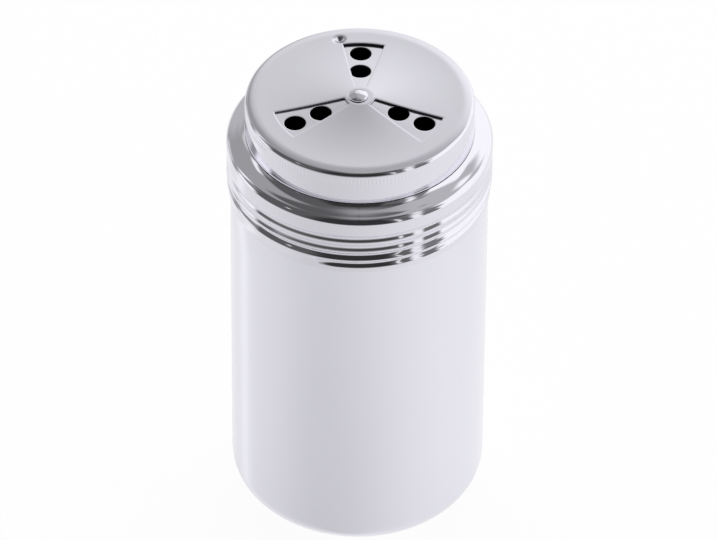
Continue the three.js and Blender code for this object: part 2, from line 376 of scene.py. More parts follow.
def add_node(tree: bpy.types.NodeTree, kind: str, *values: object, **named: object) -> bpy.types.Node:
    """Adds a node with its settings, and sets or links its inputs.

    Args:
        tree: The node tree.
        kind: The node's type, without the ShaderNode in front.
        values: The first inputs in order, as values or output sockets. A node stands for its first
            output.
        named: A setting of the node by a name in lower case, or else an input by its name, with _
            for a space.

    Returns:
        The new node.
    """
    made = tree.nodes.new("ShaderNode" + kind)
    for key in [key for key in named if key.islower()]:
        setattr(made, key, named.pop(key))
    for key, value in [*enumerate(values), *named.items()]:
        socket = made.inputs[key.replace("_", " ") if isinstance(key, str) else key]
        value = value.outputs[0] if isinstance(value, bpy.types.Node) else value
        if isinstance(value, bpy.types.NodeSocket):
            tree.links.new(value, socket)
        else:
            socket.default_value = value
    return made


@dataclass(frozen=True)
class SteelFinish:
    """Stainless steel sheet with one way of finishing its surface.

    A turned finish leaves fine lines round the axis. Lines of real grit are about 0.05 mm apart,
    too fine to show, so grain_mm is drawn coarser. Handling leaves faint clouds in the gloss.
    """

    name: str
    colour: str
    roughness: float
    grain_mm: float
    grain_roughness: float
    grain_depth: float
    cloud_mm: float
    cloud_roughness: float

    def build(self) -> bpy.types.Material:
        """Makes the material. Its lines are a noise of the direction from the axis, along which it
        hardly changes, and of the radius plus the height, along which it changes fast.

        Returns:
            A metal whose roughness and height vary along turned lines and in soft clouds.
        """
        material = bpy.data.materials.new(self.name)
        tree = blank_tree(material)
        place = add_node(tree, "TexCoord").outputs["Object"]
        split = add_node(tree, "SeparateXYZ", place).outputs
        flat = add_node(tree, "CombineXYZ", split[0], split[1])
        radius = add_node(tree, "VectorMath", flat, operation="LENGTH").outputs["Value"]
        around = add_node(tree, "VectorMath", flat, operation="NORMALIZE")
        along = add_node(tree, "Math", radius, split[2], operation="ADD")
        lines = add_node(tree, "Math", along, 1 / (self.grain_mm * MM), operation="MULTIPLY")
        bent = add_node(tree, "SeparateXYZ", around).outputs
        drift = add_node(tree, "CombineXYZ", bent[0], bent[1], lines)
        grain = add_node(tree, "TexNoise", drift, Scale=1.0, Detail=3.0, Roughness=0.6)
        clouds = add_node(tree, "TexNoise", place, Scale=1 / (self.cloud_mm * MM), Detail=3.0)
        rub = add_node(
            tree, "MapRange", grain, clamp=True, From_Min=0.25, From_Max=0.75,
            To_Min=-self.grain_roughness, To_Max=self.grain_roughness,
        )
        haze = add_node(
            tree, "MapRange", clouds, clamp=True, From_Min=0.3, From_Max=0.7,
            To_Min=self.roughness - self.cloud_roughness, To_Max=self.roughness + self.cloud_roughness,
        )
        gloss = add_node(tree, "Math", rub, haze, operation="ADD", use_clamp=True)
        relief = add_node(tree, "Bump", Strength=1.0, Distance=self.grain_depth * MM, Height=grain)
        colour = linear(self.colour)
        shader = add_node(
            tree, "BsdfPrincipled", Base_Color=colour, Metallic=1.0, Roughness=gloss, Normal=relief
        )
        add_node(tree, "OutputMaterial", shader)
        return material


# Deep-drawn cup, satin: lines from a fine abrasive belt soften every reflection. Its colour is painted
# light: set lighter than the dial top's, though both are one satin steel, to lift the body's reflection of
# the floor
SATIN_CUP = SteelFinish("satin_stainless_cup", "f2f1fa", 0.17, 0.35, 0.012, 0.00015, 18.0, 0.012)
# Dial top, satin: the same belt finish, a little flatter in gloss. Its colour is painted shade: set darker
# than the cup's, to tone down the upturned top under the studio's overhead light
SATIN_DIAL = SteelFinish("satin_stainless_dial", "e2e1e9", 0.17, 0.3, 0.015, 0.0002, 12.0, 0.015)
# Buffed ring and dial wall: mirror bright, with the faint turned lines that buffing leaves
BUFFED = SteelFinish("buffed_stainless", "ecebf3", 0.07, 0.4, 0.012, 0.00008, 10.0, 0.012)
# Inside of the pressings, as drawn: duller and unpolished
AS_DRAWN = SteelFinish("drawn_stainless_inside", "b9b9bf", 0.38, 0.5, 0.05, 0.001, 9.0, 0.05)
# Spring steel strip of the washers, rolled and hardened: grey, with a dull gloss
SPRING_STRIP = SteelFinish("spring_steel_strip", "9a9a9f", 0.36, 0.3, 0.05, 0.001, 3.0, 0.05)


def dress(made: Object, finishes: list[SteelFinish], choice: Array | None) -> None:
    """Gives a piece its materials.

    Args:
        made: The piece.
        finishes: Its finishes, in the order that choice counts them. Pieces share materials.
        choice: The number of each face's finish, or None where there is one finish.
    """
    for finish in finishes:
        made.data.materials.append(bpy.data.materials.get(finish.name) or finish.build())
    if choice is not None:
        made.data.polygons.foreach_set("material_index", choice.astype(np.int32))


# The dredger's own forms


def die_roll(distance: Array, width: float, depth: float) -> Array:
    """How far a punched edge is drawn down: the depth times the square of the way from the roll's
    width in to the edge.

    Args:
        distance: Distances from the edge in mm.
        width: Width of the roll in mm.
        depth: Its depth at the edge in mm.

    Returns:
        The drop at each distance, nothing past the width.
    """
    return depth * np.clip(1 - distance / width, 0, 1) ** 2


@dataclass(frozen=True)
class Thread:
    """The rolled thread, right-handed: one groove that climbs a pitch in each turn."""

    pitch: float = 2.9
    start_height: float = 99.4
    start_angle: float = math.radians(-116)
    turns: float = 3.47
    fade: float = 0.05

    def share(self, angle: Array, height: Array, start_height: float, first: float, last: float) -> Array:
        """How far up the slope of a groove or rib a place on the wall is.

        The thread's centre line climbs one pitch in a turn from the start angle. The share is half
        of one plus the cosine of the distance to the nearest centre line, in turns of the pitch,
        eased to nothing over the fade at both ends.

        Args:
            angle: Angles about the axis in radians.
            height: Heights in mm.
            start_height: Height of the centre line at the start angle.
            first: The turn at which the thread begins.
            last: The turn at which it ends.

        Returns:
            1 on the centre line and 0 midway to the next turn or past the ends.
        """
        ahead = np.mod(angle - self.start_angle, FULL_TURN) / FULL_TURN
        rows = (height - start_height) / self.pitch - ahead
        nearest = np.round(rows)
        turn = nearest + ahead
        fade_in = smooth((turn - first) / self.fade)
        fade_out = 1 - smooth((turn - last + self.fade) / self.fade)
        return (1 + np.cos(FULL_TURN * (rows - nearest))) / 2 * fade_in * fade_out


@dataclass(frozen=True)
class Crown:
    """The dial's top: steepest round the rivet, and flatter towards the rim, as the rivet and the
    spring pull the sheet up in the middle."""

    top: float = 127.0
    slope: float = 0.095
    land: float = 3.4
    flat: float = 25.0
    edge: float = 28.1
    roll_start: float = 26.05
    roll_drop: float = 0.047

    def height(self, radius: Array) -> Array:
        """Height at a radius: the top less the slope's sum, where the slope falls evenly from its
        full value at the land to nothing where the flat begins, less a share of the square of the
        way past the roll's start, so that the sheet bends over softly before the edge.

        Args:
            radius: Radii in mm.

        Returns:
            The height in mm at each.
        """
        reach = self.flat - self.land
        out = np.clip(radius - self.land, 0, reach)
        rolled = np.maximum(radius - self.roll_start, 0)
        sunk = self.slope * (out - out * out / (2 * reach))
        return self.top - sunk - self.roll_drop * rolled ** 2


THREAD = Thread()
CROWN = Crown()
SHEET = 0.5
HOLE_CENTRE = math.radians(90)
SECTORS = 3


@dataclass
class Cup:
    """The cup: flat base, round lower corner, straight wall, and a neck with the raised thread.

    The rib runs between two turns of the lid's groove. Rows stand close together on the threaded
    stretch of the neck, and a little way from the shoulder on the wall and the neck.
    """

    radius: float = 33.0
    wall_top: float = 96.9
    corner: float = 7.8
    shoulder: float = 0.25
    base_inner: float = 1.5
    wall_gap: float = 0.4
    neck_gap: float = 0.45
    neck: float = 32.15
    thread_low: float = 98.2
    thread_high: float = 113.2
    thread_rows: int = 92
    rib: float = 0.55
    rib_turns: Pair = (0.25, 2.498)
    mouth: float = 114.28
    lining_low: float = 1.0
    lining_floor: float = 10.0
    columns: int = 288

    def outline(self) -> Array:
        """Outline from the axis along the base, round the corner, up the wall and the neck.

        Returns:
            Rows of (radius, height).
        """
        inner = self.radius - self.corner
        base = points_at(np.linspace(self.base_inner, inner, 14)[:-1], 0.0)
        low = arc((inner, self.corner), self.corner, -90, 0, 22)
        wall = points_at(self.radius, np.linspace(self.corner, self.wall_top - self.wall_gap, 11)[1:-1])
        high = arc((self.radius - self.shoulder, self.wall_top - self.shoulder), self.shoulder, 0, 90, 5)
        threaded = np.linspace(self.thread_low, self.thread_high, self.thread_rows)
        heights = np.concatenate([[self.wall_top + self.neck_gap], threaded, [self.mouth]])
        return np.concatenate([base, low, wall, high, points_at(self.neck, heights)])

    def build(self) -> Object:
        """Builds the cup and replaces its solid.

        Returns:
            The finished piece.
        """
        angles = even_angles(self.columns)
        outline = self.outline()
        height = outline[:, 1:]
        middle_height = THREAD.start_height + THREAD.pitch / 2
        rib = self.rib * THREAD.share(angles[None, :], height, middle_height, *self.rib_turns)
        raised = np.where(height >= self.wall_top + self.neck_gap, rib, 0)
        sheet = Sheet()
        faces = outline, behind(outline, SHEET)
        index = sheet.add(*(turned(face, angles, -raised) for face in faces))
        sheet.rings(index)
        centre = sheet.add(np.zeros((1, 3)), np.array([[0, 0, SHEET]]))
        sheet.fan(int(centre[0]), index[0])
        made = piece("cup_body", *sheet.closed())
        middle, facing, outward = faces_of(made)
        lining = ~outward & (middle[:, 2] > self.lining_low)
        lining |= (facing[:, 2] > 0.5) & (middle[:, 2] < self.lining_floor)
        dress(made, [SATIN_CUP, AS_DRAWN], lining)
        soften_edges(made, width=0.12)
        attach(made, "cup")
        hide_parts("cup")
        return made


@dataclass
class ScrewLid:
    """The screw lid: threaded skirt, plain band, shoulder, collar and pierced top, in one sheet.

    The groove is deeper near the lower edge, by a depth, and shallower above, by a share, each from
    a height over a height. The shoulder's faces look up by angles in degrees, set at some radii. A
    pouring hole's block of faces goes from an outer to an inner row of the top, by their radii, and
    half of its columns to each side.
    """

    low: float = 97.05
    top: float = 113.0
    radius: float = 33.9
    draw: float = 0.5
    draw_height: float = 4.8
    thread_low: float = 98.3
    thread_high: float = 111.4
    thread_rows: int = 76
    band: Pair = (112.2, 112.8)
    groove_floor: float = 32.95
    groove_deeper: tuple[float, float, float] = (0.2, 99.5, 3.0)
    groove_shallower: tuple[float, float, float] = (0.44, 103.1, 1.6)
    corner: float = 0.25
    corner_turn: float = 25.0
    rounding: float = 2.45
    rounding_turn: Pair = (28.0, 65.3)
    facing_at: tuple[float, ...] = (29.3, 29.65, 29.95, 30.5, 31.0, 31.9, 32.25, 32.6, 32.8)
    facing: tuple[float, ...] = (46.0, 48.5, 56.0, 62.0, 66.5, 61.0, 58.5, 69.0, 66.0)
    ledge_outer: float = 29.3
    cove: float = 0.4
    collar: float = 28.1
    collar_edge: float = 0.9
    collar_low: float = 119.1
    satin_inset: float = 0.6
    plate_drop: float = 0.57
    plate_lean: float = 0.006
    lean_angle: float = math.radians(60)
    lean_fade: Pair = (23.5, 3.4)
    holes_moved: Pair = (-0.08, 0.0)
    group_turns: tuple[float, ...] = (0.0, -0.2, 2.1)
    hole_radius: float = 2.78
    hole_roll: float = 0.2
    hole_rings: Pair = (18.6, 11.2)
    hole_blocks: tuple[tuple[float, float, int], ...] = ((21.95, 15.2, 8), (14.5, 7.9, 13))
    slot_ring: float = 24.5
    slot_half_width: float = 2.1
    slot_roll: float = 0.12
    slot_stops: Pair = (102.0, 163.4)
    slot_rows: Pair = (27.1, 22.1)
    slot_block: Pair = (96.0, 168.0)
    ring_shares: tuple[float, ...] = (0.4, 0.75, 1.0)
    roll_shares: tuple[float, ...] = (0.6, 0.32, 0.12, 0.0)
    roll_ratio: float = 5.0
    bore: float = 1.9
    columns: int = 270

    def wall(self, height: Array) -> Array:
        """Radius of the skirt before its thread, eased out from the drawn-in edge."""
        return self.radius - self.draw * (1 - smooth((height - self.low) / self.draw_height))

    def shoulder(self) -> Array:
        """The shoulder: a crisp corner, a round that rolls over, then a nearly flat cone with one
        shallow wave. The cone's height falls by the cotangent of the normal's angle per millimetre.

        Returns:
            Rows of (radius, height) from the skirt's top to the ledge under the dial.
        """
        corner = arc((self.radius - self.corner, self.top), self.corner, 0, self.corner_turn, 3)
        turn = math.radians(self.corner_turn)
        centre = corner[-1] - self.rounding * np.array([math.cos(turn), math.sin(turn)])
        rolled = arc(centre, self.rounding, *self.rounding_turn, 12)
        radius = np.linspace(rolled[-1, 0], self.ledge_outer, 18)
        slope = 1 / np.tan(np.radians(np.interp(radius, self.facing_at, self.facing)))
        rise = np.cumsum((slope[1:] + slope[:-1]) / 2 * -np.diff(radius))
        return np.concatenate([corner, rolled, points_at(radius[1:], rolled[-1, 1] + rise)])

    def outline(self) -> tuple[Array, int]:
        """Outline from the skirt's lower edge to the edge of the flat top.

        Returns:
            The outline, and how many of its first points belong to the skirt.
        """
        hem = np.linspace(self.low, self.thread_low, 4)[:-1]
        threaded = np.linspace(self.thread_low, self.thread_high, self.thread_rows)
        heights = np.concatenate([hem, threaded, self.band])
        inner = self.collar - self.collar_edge
        rim = CROWN.height(inner) - self.plate_drop - self.collar_edge
        shoulder = self.shoulder()
        low = float(shoulder[-1, 1]) + self.cove
        cove = arc((self.collar + self.cove, low), self.cove, -90, -180, 4)
        wall = points_at(self.collar, np.linspace(low, rim, 5)[1:-1])
        edge = arc((inner, rim), self.collar_edge, 0, 90, 7)
        skirt = points_at(self.wall(heights), heights)
        return np.concatenate([skirt, shoulder, cove, wall, edge]), len(skirt)

    def groove(self, height: Array, angles: Array) -> Array:
        """Depth of the thread's groove: the thread's share of the way from the wall to the groove's
        floor, less a share of it above.

        Args:
            height: Heights in mm, rows x 1.
            angles: Angles about the axis in radians.

        Returns:
            The depth in mm, rows x columns.
        """
        depth = THREAD.share(angles[None, :], height, THREAD.start_height, 0, THREAD.turns)
        deeper, start, length = self.groove_deeper
        floor = self.groove_floor - deeper * (1 - smooth((height - start) / length))
        depth *= np.maximum(self.wall(height) - floor, 0)
        shallower, start, length = self.groove_shallower
        return depth * (1 - shallower * smooth((height - start) / length))

    def plate_height(self, across: Array, along: Array) -> Array:
        """Height of the pierced top: the crown's less the drop, and less a lean that grows with the
        distance towards its low side and fades out before the edge.

        Args:
            across: x in mm.
            along: y in mm.

        Returns:
            The height of each place.
        """
        radius = np.hypot(across, along)
        low_side = across * math.cos(self.lean_angle) + along * math.sin(self.lean_angle)
        start, length = self.lean_fade
        fade = 1 - smooth((radius - start) / length)
        return CROWN.height(radius) - self.plate_drop - self.plate_lean * low_side * fade

    def plate_radii(self) -> Array:
        """Radii of the rows of the pierced top, set so that the holes fit between whole rows."""
        return np.concatenate([
            [27.1], np.linspace(26.3, 22.8, 5), [22.1, 21.95], np.linspace(21.1, 16.1, 7),
            [15.2, 14.5], np.linspace(13.6, 8.8, 7), [7.9, 6.8, 5.6, 4.4, 3.2, 2.4, self.bore],
        ])

    def punch(self, sheet: Sheet, index: Array, kept: Array, rows: tuple[int, int],
              columns: Array, spine: Array, radius: float, rolled: float) -> None:
        """Cuts a hole with a smooth, rolled edge: a block of faces is left out, and rings of faces
        lead from the block's edge straight towards the nearest point of the spine, up to the
        hole's radius from it.

        Args:
            sheet: The sheet that is cut.
            index: Point numbers of its grid.
            kept: Which faces of the grid are laid. The block's are taken out of it.
            rows: First and last row of the block.
            columns: Columns of the block, in order.
            spine: Points that the hole is drawn round, one alone for a round hole.
            radius: The hole's radius, or half of its width.
            rolled: Width of the edge's die roll in mm.
        """
        first, last = rows
        kept[first:last, columns[:-1]] = False
        down = np.arange(first, last + 1)
        loop = np.concatenate([
            index[first, columns[:-1]], index[down[:-1], columns[-1]],
            index[last, columns[:0:-1]], index[down[:0:-1], columns[0]],
        ])
        edge = np.concatenate(sheet.front)[loop][:, :2]
        gap = edge[:, None, :] - spine[None, :, :]
        nearest = np.argmin(np.sum(gap * gap, axis=2), axis=1)
        reach = gap[np.arange(len(edge)), nearest]
        way = reach / np.linalg.norm(reach, axis=1, keepdims=True)
        share = np.array(self.ring_shares)[:, None, None]
        outer = edge * (1 - share) + (spine[nearest] + way * (radius + rolled)) * share
        gaps = rolled * np.array(self.roll_shares)
        inner = spine[nearest] + way * (radius + gaps[:, None, None])
        rings = np.concatenate([outer, inner])
        flat = np.concatenate([rings, self.plate_height(rings[..., :1], rings[..., 1:])], -1)
        front = flat.copy()
        front[len(outer):, :, 2] -= die_roll(gaps, rolled, rolled / self.roll_ratio)[:, None]
        new = sheet.add(front, flat - np.array([0, 0, SHEET]))
        sheet.rings(np.vstack([loop, new]))

    def build(self) -> Object:
        """Builds the lid and replaces its solid.

        Returns:
            The finished piece.
        """
        angles = even_angles(self.columns)
        outline, skirt = self.outline()
        radii = self.plate_radii()
        plate = CROWN.height(radii) - self.plate_drop
        start = len(outline)
        outline = np.concatenate([outline, points_at(radii, plate)])
        depth = self.groove(outline[:, 1:], angles)
        depth[skirt:] = 0
        sides = [turned(face, angles, depth) for face in (outline, behind(outline, SHEET))]
        for grid in sides:
            top = grid[start:]
            top[..., 2] += self.plate_height(top[..., 0], top[..., 1]) - plate[:, None]
        sheet = Sheet()
        index = sheet.add(*sides)
        kept = np.ones((len(outline) - 1, self.columns), bool)
        step = FULL_TURN / self.columns
        row_of = {round(float(value), 2): start + number for number, value in enumerate(radii)}
        for sector in range(SECTORS):
            angle = HOLE_CENTRE + sector * FULL_TURN / SECTORS + math.radians(self.group_turns[sector])
            for ring, (outer, inner, half) in zip(self.hole_rings, self.hole_blocks):
                spine = ring * np.array([[math.cos(angle), math.sin(angle)]]) + self.holes_moved
                middle = round(math.atan2(spine[0, 1], spine[0, 0]) / step)
                columns = np.arange(middle - half, middle + half + 1) % self.columns
                rows = row_of[outer], row_of[inner]
                self.punch(sheet, index, kept, rows, columns, spine, self.hole_radius, self.hole_roll)
        stops = np.radians(np.linspace(*self.slot_stops, 241))
        spine = self.slot_ring * np.stack([np.cos(stops), np.sin(stops)], 1)
        first, last = (round(math.radians(angle) / step) for angle in self.slot_block)
        rows = row_of[self.slot_rows[0]], row_of[self.slot_rows[1]]
        columns = np.arange(first, last + 1)
        self.punch(sheet, index, kept, rows, columns, spine, self.slot_half_width, self.slot_roll)
        sheet.rings(index, kept)
        made = piece("lid_ring_and_top", *sheet.closed())
        middle, facing, outward = faces_of(made)
        radius = np.linalg.norm(middle[:, :2], axis=1)
        on_plate = (radius < self.collar - self.satin_inset) & (middle[:, 2] > self.collar_low)
        above = facing[:, 2] > RISING
        choice = np.where(on_plate & above, 1, np.where(outward | above, 0, 2))
        dress(made, [BUFFED, SATIN_DIAL, AS_DRAWN], choice)
        soften_edges(made, width=0.1)
        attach(made, "lid")
        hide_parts("screw_lid")
        return made


@dataclass
class DialCap:
    """The dial: wall with a milled band, round edge, and a crowned top with three wedge windows.

    A window's straight sides meet a setback behind the axis. Columns stand at the distances
    beside_window from its sides, and rows at above_window from its outer arc.
    """

    radius: float = 29.18
    low: float = 116.45
    sheet: float = 0.42
    edge: float = 1.36
    edge_turn: float = 73.0
    window_outer: float = 22.2
    window_inner: float = 3.8
    half_angle: float = math.radians(12.6)
    setback: float = 2.2
    rest_turn: float = math.radians(-1.8)
    dimple_ring: float = 24.2
    dimple_angle: float = math.radians(103.2)
    dimple_depth: float = 1.1
    dimple_reach: float = 1.85
    bore: float = 1.9
    milled_low: float = 122.0
    milled_high: float = 123.7
    milled_fade: float = 0.5
    milled_depth: float = 0.09
    teeth: int = 192
    roll_width: float = 0.45
    roll_depth: float = 0.05
    satin_past: float = 0.25
    satin_rising: float = 0.3
    beside_window: tuple[float, ...] = (0.0, 0.04, 0.12, 0.24, 0.4, 0.62)
    above_window: tuple[float, ...] = (0.7, 0.45, 0.25, 0.1, 0.0)
    inner_rows: tuple[float, ...] = (3.75, 3.5, 3.2, 2.8, 2.4)
    window_columns: int = 32
    sector_columns: int = 128

    def half_window(self, radius: Array) -> Array:
        """Half of a window's angle at a radius: the sides' angle plus the arcsine of their distance
        from the axis over the radius, held past both ends of the window.

        Args:
            radius: Radii in mm.

        Returns:
            The angle in radians at each.
        """
        offset = self.setback * math.sin(self.half_angle)
        held = np.clip(radius, self.corner_radius(), self.window_outer)
        return self.half_angle + np.arcsin(offset / held)

    def corner_radius(self) -> float:
        """Distance of a window's inner corners from the axis."""
        across = (self.window_inner + self.setback) * math.tan(self.half_angle)
        return math.hypot(self.window_inner, across)

    def columns_at(self, radius: Array) -> Array:
        """Angles of the columns at each radius. Columns follow the windows' sides out to the end of
        the windows, close together along the rolled edges, and ease to even spacing at the rim.

        Args:
            radius: One radius per row.

        Returns:
            Angles in radians, rows x columns.
        """
        sector = FULL_TURN / SECTORS
        half = self.half_window(radius)[:, None]
        window = np.linspace(-1, 1, self.window_columns + 1)[None, :-1] * half
        near = np.array(self.beside_window) / np.maximum(radius, self.corner_radius())[:, None]
        plain = self.sector_columns - self.window_columns - 2 * near.shape[1] + 1
        start, end = half + near[:, -1:], sector - half - near[:, -1:]
        middle = start + np.linspace(0, 1, plain + 2)[None, 1:-1] * (end - start)
        web = np.concatenate([half + near, middle, sector - half - near[:, :0:-1]], 1)
        once = np.concatenate([window, web], 1)
        even_half = sector * self.window_columns / self.sector_columns / 2
        even = -even_half + np.arange(once.shape[1]) * sector / once.shape[1]
        ease = smooth((radius - self.window_outer) / (CROWN.edge - self.window_outer))[:, None]
        once = once * (1 - ease) + even[None, :] * ease
        turns = [once + HOLE_CENTRE + self.rest_turn + number * sector for number in range(SECTORS)]
        return np.concatenate(turns, 1)

    def top_grid(self, outline: Array, radii: Array) -> Array:
        """Points of the coarse part: the outline carried along the windows' columns.

        Args:
            outline: Rows of (radius, height).
            radii: The radius of each row on the front, which sets the columns' angles.

        Returns:
            Points as rows x columns x 3.
        """
        grid = turned(outline, self.columns_at(radii))
        inner = np.isclose(radii, self.corner_radius())
        angle = np.linspace(-1, 1, self.window_columns + 1)[:-1] * self.half_window(radii[inner])[0]
        shrink = np.ones((SECTORS, self.sector_columns))
        shrink[:, :self.window_columns] = self.window_inner / np.cos(angle) / self.corner_radius()
        grid[inner, :, :2] *= shrink.reshape(1, -1, 1)
        return grid

    def roll_windows(self, grid: Array) -> None:
        """Draws the windows' edges down. The distance from a window is that from the lines of its
        sides, its outer arc and its inner edge, joined as the root of the sum of their squares.

        Args:
            grid: Points that are lowered in place, with x, y and z last.
        """
        for number in range(SECTORS):
            angle = HOLE_CENTRE + self.rest_turn + number * FULL_TURN / SECTORS
            along = grid[..., 0] * math.cos(angle) + grid[..., 1] * math.sin(angle)
            across = np.abs(grid[..., 1] * math.cos(angle) - grid[..., 0] * math.sin(angle))
            side = across * math.cos(self.half_angle) - (along + self.setback) * math.sin(self.half_angle)
            outer = np.hypot(along, across) - self.window_outer
            gaps = [np.maximum(gap, 0) for gap in (side, outer, self.window_inner - along)]
            distance = np.sqrt(gaps[0] ** 2 + gaps[1] ** 2 + gaps[2] ** 2)
            grid[..., 2] -= np.where(along > 0, die_roll(distance, self.roll_width, self.roll_depth), 0)

    def dimple(self, grid: Array) -> None:
        """Presses the dimple into a grid: lowered by half of the depth times one plus the cosine of
        the distance from its centre, out to its reach.

        Args:
            grid: Points that are lowered in place, with x, y and z last.
        """
        centre = self.dimple_ring * np.array([math.cos(self.dimple_angle), math.sin(self.dimple_angle)])
        away = np.linalg.norm(grid[..., :2] - centre, axis=-1) / self.dimple_reach
        grid[..., 2] -= self.dimple_depth * (1 + np.cos(math.pi * np.minimum(away, 1))) / 2

    def milling(self, heights: Array, angles: Array) -> Array:
        """Depth of the milled grip: a ripple round the wall that fades out below and above it.

        Args:
            heights: Heights in mm, one per row.
            angles: Angles about the axis in radians, one per column.

        Returns:
            The depth in mm, rows x columns.
        """
        ripple = (1 - np.cos(self.teeth * angles)) / 2
        fade = smooth((heights - self.milled_low) / self.milled_fade)
        fade *= 1 - smooth((heights - self.milled_high) / self.milled_fade)
        return self.milled_depth * fade[:, None] * ripple[None, :]

    def outline(self) -> tuple[Array, int]:
        """Outline up the wall, round the edge to the crown, and in over the top to the bore.

        Returns:
            The outline, and how many of its first points belong to the finer lower part.
        """
        turn_end = math.radians(self.edge_turn)
        edge_end = self.radius - self.edge * (1 - math.cos(turn_end))
        edge_low = float(CROWN.height(np.array([edge_end]))[0]) - self.edge * math.sin(turn_end)
        heights = np.concatenate([
            np.linspace(self.low, self.milled_low, 7)[:-1], np.linspace(self.milled_low, edge_low, 9),
        ])
        turn = arc((self.radius - self.edge, edge_low), self.edge, 0, self.edge_turn, 14)[1:]
        above = self.window_outer + np.array(self.above_window)
        radii = np.concatenate([
            np.linspace(edge_end, above[0], 20)[1:], above[1:],
            np.linspace(self.window_outer, self.corner_radius(), 34)[1:], self.inner_rows, [self.bore],
        ])
        wall = points_at(self.radius, heights)
        return np.concatenate([wall, turn, points_at(radii, CROWN.height(radii))]), len(wall) + 3

    def build(self) -> Object:
        """Builds the dial and replaces its solid.

        Returns:
            The finished piece.
        """
        columns = SECTORS * self.sector_columns
        outline, split = self.outline()
        faces = outline, behind(outline, self.sheet)
        fine = even_angles(3 * columns) + self.columns_at(np.array([CROWN.edge]))[0, 0]
        milled = self.milling(outline[:split, 1], fine)
        sheet = Sheet()
        skirt = sheet.add(*(turned(face[:split], fine, milled) for face in faces))
        sheet.rings(skirt)
        rows = outline[split:, 0]
        upper = [self.top_grid(face[split:], rows) for face in faces]
        self.roll_windows(upper[0])
        for grid in upper:
            self.dimple(grid)
        index = sheet.add(*upper)
        sheet.step_down(skirt[-1], index[0])
        kept = np.ones((len(index) - 1, columns), bool)
        open_rows = (rows[:-1] <= self.window_outer + 1e-6) & (rows[1:] >= self.corner_radius() - 1e-6)
        across = np.arange(columns) % self.sector_columns < self.window_columns
        kept[open_rows[:, None] & across[None, :]] = False
        sheet.rings(index, kept)
        made = piece("dial_cap_pressing", *sheet.closed())
        middle, facing, outward = faces_of(made)
        radius = np.linalg.norm(middle[:, :2], axis=1)
        satin = (radius < CROWN.edge + self.satin_past) & (facing[:, 2] > self.satin_rising)
        choice = np.where(satin, 0, np.where(outward | (facing[:, 2] > RISING), 1, 2))
        dress(made, [SATIN_DIAL, BUFFED, AS_DRAWN], choice)
        soften_edges(made, width=0.1)
        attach(made, "dial")
        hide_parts("dial_cap")
        return made


@dataclass
class Fasteners:
    """The rivet that holds the dial to the lid, and the two washers under the lid's top."""

    head_radius: float = 2.62
    head_height: float = 0.9
    head_seat: float = 127.1
    head_edge: float = 0.1
    head_aside: float = 0.42
    dome_inset: float = 0.12
    dome_start: float = 1.2
    shank: float = 1.6
    tail_radius: float = 2.7
    tail_flat: float = 1.2
    tail_round: float = 0.4
    tail_low: float = 123.2
    tail_top: float = 124.1
    bore: float = 1.9
    spring_outer: float = 4.8
    spring_low: float = 124.8
    spring_sheet: float = 0.3
    spring_cone: float = 0.5
    backing_outer: float = 4.2
    backing_low: float = 124.2
    backing_sheet: float = 0.5
    columns: int = 96

    def rivet(self) -> Object:
        """Builds the rivet: clinched tail, shank, and a low dome with a rolled edge. The dome is part
        of a sphere whose radius is the square of the head's over twice its height, plus half of it.

        Returns:
            The finished piece.
        """
        sphere = self.head_radius ** 2 / (2 * self.head_height) + self.head_height / 2
        centre = (0.0, self.head_seat + self.head_height - sphere)
        rim = math.degrees(math.acos((self.head_radius - self.dome_inset) / sphere))
        seat, foot = self.head_radius - self.head_edge, self.tail_round
        outline = np.concatenate([
            [[0, self.tail_low], [self.tail_flat, self.tail_low]],
            arc((self.tail_radius - foot, self.tail_low + foot), foot, -90, 0, 5),
            [[self.tail_radius, self.tail_top], [self.shank, self.tail_top]],
            [[self.shank, self.head_seat], [seat, self.head_seat]],
            arc((seat, self.head_seat + self.head_edge), self.head_edge, -90, rim, 5)[1:],
            arc(centre, sphere, rim + self.dome_start, 90, 16),
        ])
        outline[-1, 0] = 0.0
        points, quads, triangles = body_of_turn(outline, self.columns)
        points[:, 0] -= self.head_aside * (points[:, 2] >= self.head_seat - 0.01)
        made = piece("rivet_turned", points, quads, triangles)
        dress(made, [BUFFED], None)
        soften_edges(made, width=0.05)
        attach(made, "rivet")
        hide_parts("centre_rivet")
        return made

    def washer(self, name: str, node: str, body: str, outer: float, low: float, thickness: float,
               cone: float) -> Object:
        """Builds a washer from a closed section.

        Args:
            name: The piece's name.
            node: The solid that it stands for.
            body: The body that it moves with.
            outer: Outer radius in mm.
            low: Height of its inner lower edge in mm.
            thickness: The strip's thickness in mm.
            cone: How much higher the outer edge lies than the inner one, in mm.

        Returns:
            The finished piece.
        """
        raised = low + cone
        section = np.array([
            [self.bore, low], [outer, raised], [outer, raised + thickness], [self.bore, low + thickness],
        ])
        made = piece(name, *body_of_turn(section, self.columns))
        dress(made, [SPRING_STRIP], None)
        soften_edges(made, width=0.06)
        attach(made, body)
        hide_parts(node)
        return made

    def build(self) -> list[Object]:
        """Builds the rivet and both washers and replaces their solids.

        Returns:
            The three finished pieces.
        """
        spring = self.washer("spring_washer_strip", "spring_washer", "lid", self.spring_outer,
                             self.spring_low, self.spring_sheet, self.spring_cone)
        backing = self.washer("backing_washer_strip", "backing_washer", "rivet", self.backing_outer,
                              self.backing_low, self.backing_sheet, 0.0)
        return [self.rivet(), spring, backing]


# Studio


def direction(azimuth: float, elevation: float) -> Vector:
    """Unit direction from an azimuth, 0 towards the front and growing to the right, and an
    elevation, both in radians: (sin az cos el, -cos az cos el, sin el)."""
    flat = math.cos(elevation)
    return Vector((math.sin(azimuth) * flat, -math.cos(azimuth) * flat, math.sin(elevation)))


@dataclass(frozen=True)
class Card:
    """A card, wall or lamp of the studio, as seen from the object. It covers those listed before it.

    Angles are in degrees. Azimuth is 0 towards the front and counts to the right, and elevation is
    above the horizon. The size is half of the card's width and height, to the middle of its soft
    edges.
    """

    azimuth: float
    elevation: float
    size: Pair
    soft: Pair
    level: float


